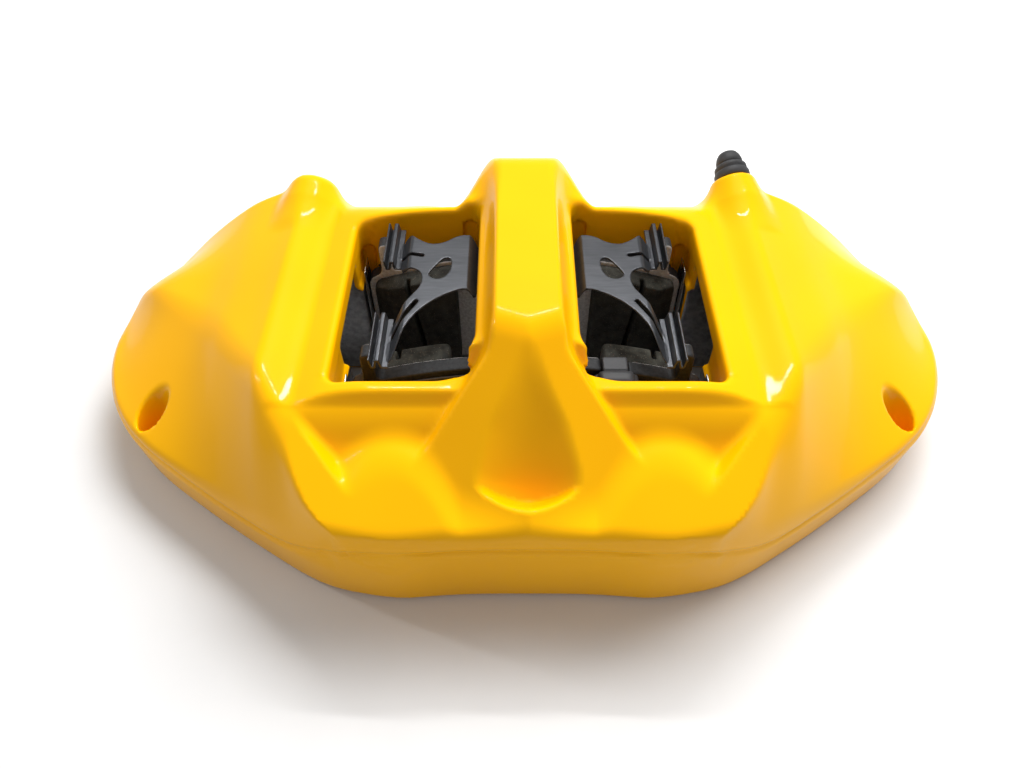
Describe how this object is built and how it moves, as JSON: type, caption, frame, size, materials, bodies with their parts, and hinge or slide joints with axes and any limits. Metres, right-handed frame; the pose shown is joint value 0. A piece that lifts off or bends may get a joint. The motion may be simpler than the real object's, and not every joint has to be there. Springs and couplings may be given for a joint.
{
  "type": "brake caliper",
  "caption": "Fixed monobloc brake caliper that clamps a ventilated disc between two pads with opposed pistons, with pads, spring and bleed screw fitted.",
  "frame": {"origin": "middle of the bottom of the bounding box, under the middle of the disc slot", "axes": "+Z radially outwards from the disc, +Y towards the knuckle (inboard), +X along the length of the caliper"},
  "size_m": [0.348, 0.1738, 0.089],
  "materials": {
    "paint": "gloss yellow paint",
    "piston": "hard anodised, turned",
    "rubber": "matte black",
    "pad_steel": "satin black powder coat",
    "shim": "dark coated",
    "friction": "rough sintered friction compound",
    "stainless": "stainless sheet",
    "plated_steel": "zinc plated",
    "spring_steel": "satin dark grey coating",
    "plastic": "moulded black"
  },
  "bodies": {
    "caliper": {"caliper_body": "paint", "piston_seal_outboard_left": "rubber", "dust_boot_outboard_left": "rubber", "abutment_plate_outboard_left": "stainless", "piston_seal_outboard_right": "rubber", "dust_boot_outboard_right": "rubber", "abutment_plate_outboard_right": "stainless", "gallery_plug_outboard": "plated_steel", "piston_seal_inboard_left": "rubber", "dust_boot_inboard_left": "rubber", "abutment_plate_inboard_left": "stainless", "piston_seal_inboard_right": "rubber", "dust_boot_inboard_right": "rubber", "abutment_plate_inboard_right": "stainless", "gallery_plug_inboard": "plated_steel", "mount_insert_left": "plated_steel", "mount_insert_right": "plated_steel", "crossover_plug": "plated_steel", "pad_spring": "spring_steel"},
    "outboard_pad": {"backing_plate_outboard": "pad_steel", "shim_outboard": "shim", "lining_outboard_left": "friction", "lining_outboard_right": "friction", "wear_sensor": "plastic"},
    "piston_outboard_left": {"piston_outboard_left": "piston"},
    "piston_outboard_right": {"piston_outboard_right": "piston"},
    "inboard_pad": {"backing_plate_inboard": "pad_steel", "shim_inboard": "shim", "lining_inboard_left": "friction", "lining_inboard_right": "friction"},
    "piston_inboard_left": {"piston_inboard_left": "piston"},
    "piston_inboard_right": {"piston_inboard_right": "piston"},
    "bleed_screw": {"bleed_screw": "plated_steel"},
    "bleed_cap": {"bleed_cap": "rubber"}
  },
  "joints": [
    {"name": "outboard_pad_slide", "type": "slide", "parent": "caliper", "child": "outboard_pad", "axis": [0, 1, 0], "range_m": [-0.0025, 0.0065]},
    {"name": "piston_outboard_left_slide", "type": "slide", "parent": "caliper", "child": "piston_outboard_left", "axis": [0, 1, 0], "range_m": [-0.0025, 0.0065], "deforming": ["dust_boot_outboard_left"]},
    {"name": "piston_outboard_right_slide", "type": "slide", "parent": "caliper", "child": "piston_outboard_right", "axis": [0, 1, 0], "range_m": [-0.0025, 0.0065], "deforming": ["dust_boot_outboard_right"]},
    {"name": "inboard_pad_slide", "type": "slide", "parent": "caliper", "child": "inboard_pad", "axis": [0, -1, 0], "range_m": [-0.0025, 0.0065]},
    {"name": "piston_inboard_left_slide", "type": "slide", "parent": "caliper", "child": "piston_inboard_left", "axis": [0, -1, 0], "range_m": [-0.0025, 0.0065], "deforming": ["dust_boot_inboard_left"]},
    {"name": "piston_inboard_right_slide", "type": "slide", "parent": "caliper", "child": "piston_inboard_right", "axis": [0, -1, 0], "range_m": [-0.0025, 0.0065], "deforming": ["dust_boot_inboard_right"]},
    {"name": "bleed_screw_turn", "type": "hinge", "parent": "caliper", "child": "bleed_screw", "pos_m": [0.089, 0.07314, 0.066], "axis": [-0.1, 0.9196, 0.3798], "range_deg": [0, 270]},
    {"name": "bleed_cap_pull", "type": "slide", "parent": "bleed_screw", "child": "bleed_cap", "axis": [-0.1, 0.9196, 0.3798], "range_m": [0, 0.018]}
  ],
  "couplings": [
    {"joint": "piston_outboard_left_slide", "follows": "outboard_pad_slide", "ratio": 1},
    {"joint": "piston_outboard_right_slide", "follows": "outboard_pad_slide", "ratio": 1},
    {"joint": "piston_inboard_left_slide", "follows": "inboard_pad_slide", "ratio": 1},
    {"joint": "piston_inboard_right_slide", "follows": "inboard_pad_slide", "ratio": 1}
  ]
}
